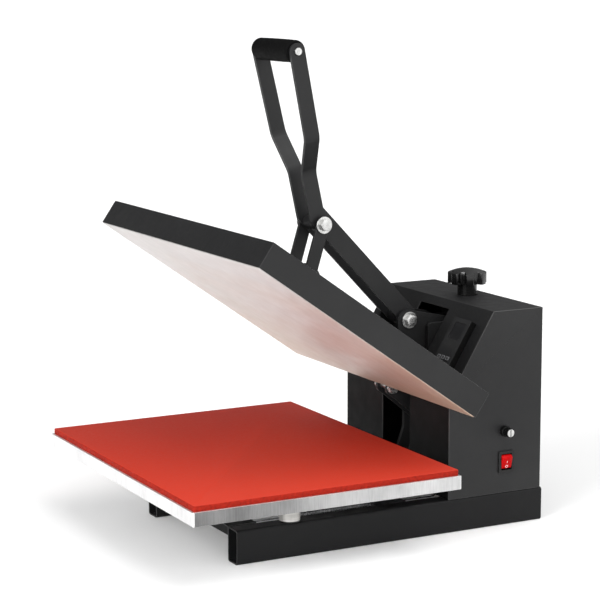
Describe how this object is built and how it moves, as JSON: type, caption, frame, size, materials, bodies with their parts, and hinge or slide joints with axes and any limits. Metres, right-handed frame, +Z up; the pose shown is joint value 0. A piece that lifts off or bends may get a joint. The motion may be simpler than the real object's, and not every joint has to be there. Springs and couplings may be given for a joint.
{
  "type": "heat press",
  "caption": "Clamshell heat press standing open: flat lower platen with silicone pad, heated upper platen on swing arms, toggle lever, pressure knob, steel casing with controls.",
  "frame": {"origin": "on the standing surface, on the machine's centre plane, midway between its front and its back", "axes": "+X to the operator's right, +Y from the operator to the back of the machine, +Z up"},
  "size_m": [0.525, 0.6098, 0.7043],
  "materials": {
    "black_coat": "fine-textured black powder coat",
    "zinc_steel": "bright zinc plate",
    "spring_steel": "drawn spring wire",
    "platen_aluminium": "milled",
    "heater_coating": "smooth non-stick coat",
    "red_silicone": "sponge silicone, matte",
    "insulation": "pressed ceramic fibre",
    "black_plastic": "moulded",
    "black_gloss": "glossy moulded",
    "grip_rubber": "soft foam rubber",
    "display": "smoked window",
    "button_grey": "satin",
    "rocker_red": "translucent red",
    "circuit_board": "solder-masked board"
  },
  "bodies": {
    "base": {"base_tube_left": "black_coat", "base_tube_right": "black_coat", "front_crossbar": "black_coat", "rear_crossbar": "black_coat", "base_plate": "black_coat", "base_plate_bolts": "zinc_steel", "platen_posts": "zinc_steel", "lower_platen": "platen_aluminium", "silicone_pad": "red_silicone", "upright_left": "black_coat", "upright_right": "black_coat", "top_bridge": "black_coat", "hinge_axle": "zinc_steel", "case_wrap": "black_coat", "case_side_left": "black_coat", "case_side_right": "black_coat", "case_back": "black_coat", "case_screws": "zinc_steel", "mains_inlet": "black_plastic", "control_box": "black_plastic", "display_window": "display", "controller_board": "circuit_board", "fuse_holder": "black_plastic", "switch_bezel": "black_plastic", "return_spring_left": "spring_steel", "return_spring_right": "spring_steel"},
    "upper_platen": {"platen_cover": "black_coat", "heater_plate": "heater_coating", "insulation_board": "insulation", "mounting_plate": "black_coat", "mounting_bolts": "zinc_steel", "swing_arm_left": "black_coat", "swing_arm_right": "black_coat", "hinge_sleeve": "black_coat", "arm_cross_bolt": "zinc_steel", "link_pin_tube": "zinc_steel", "tail_rod": "zinc_steel"},
    "slider": {"pressure_slider": "black_coat", "guide_pins": "zinc_steel", "upper_pivot_bolt": "zinc_steel", "upper_pivot_washers": "zinc_steel", "upper_pivot_nut": "zinc_steel"},
    "knob": {"pressure_knob": "black_gloss", "pressure_screw": "zinc_steel"},
    "lever": {"lever_plate_left": "black_coat", "lever_plate_right": "black_coat", "grip": "grip_rubber", "grip_screws": "zinc_steel", "lever_spacers": "black_coat", "knee_bolt": "zinc_steel", "knee_washers": "zinc_steel", "knee_nut": "zinc_steel"},
    "links": {"link_left": "black_coat", "link_right": "black_coat", "link_pins": "zinc_steel"},
    "button_left": {"button_left": "button_grey"},
    "button_middle": {"button_middle": "button_grey"},
    "button_right": {"button_right": "button_grey"},
    "fuse_cap": {"fuse_cap": "black_plastic"},
    "switch_rocker": {"switch_rocker": "rocker_red"}
  },
  "joints": [
    {"name": "platen_hinge", "type": "hinge", "parent": "base", "child": "upper_platen", "pos_m": [0, 0.2222, 0.1301], "axis": [1, 0, 0], "range_deg": [0, 35], "deforming": ["return_spring_left", "return_spring_right"]},
    {"name": "slider_slide", "type": "slide", "parent": "base", "child": "slider", "axis": [0, 0, 1], "range_m": [-0.008, 0.008]},
    {"name": "knob_turn", "type": "hinge", "parent": "slider", "child": "knob", "pos_m": [0, 0.2681, 0.3], "axis": [0, 0, 1], "range_deg": [-1441, 1441]},
    {"name": "lever_hinge", "type": "hinge", "parent": "slider", "child": "lever", "pos_m": [0, 0.1491, 0.292], "axis": [1, 0, 0], "range_deg": [0, 67.6]},
    {"name": "link_hinge", "type": "hinge", "parent": "lever", "child": "links", "pos_m": [0, 0.0069, 0.4408], "axis": [1, 0, 0], "range_deg": [-120.5, 0]},
    {"name": "button_left_press", "type": "slide", "parent": "base", "child": "button_left", "axis": [0, 0.8511, -0.525], "range_m": [0, 0.0012], "stiffness_N_per_m": 400, "springref_m": -0.0005},
    {"name": "button_middle_press", "type": "slide", "parent": "base", "child": "button_middle", "axis": [0, 0.8511, -0.525], "range_m": [0, 0.0012], "stiffness_N_per_m": 400, "springref_m": -0.0005},
    {"name": "button_right_press", "type": "slide", "parent": "base", "child": "button_right", "axis": [0, 0.8511, -0.525], "range_m": [0, 0.0012], "stiffness_N_per_m": 400, "springref_m": -0.0005},
    {"name": "fuse_cap_turn", "type": "hinge", "parent": "base", "child": "fuse_cap", "pos_m": [0.1492, 0.2389, 0.1402], "axis": [1, 0, 0], "range_deg": [0, 90]},
    {"name": "switch_tilt", "type": "hinge", "parent": "base", "child": "switch_rocker", "pos_m": [0.1462, 0.2419, 0.0944], "axis": [0, 1, 0], "range_deg": [-28, 0]}
  ],
  "couplings": [
    {"joint": "knob_turn", "follows": "slider_slide", "rad_per_m": 3141.6},
    {"joint": "lever_hinge", "follows": "platen_hinge", "ratio": 1.9271},
    {"joint": "link_hinge", "follows": "platen_hinge", "ratio": -3.4382}
  ]
}
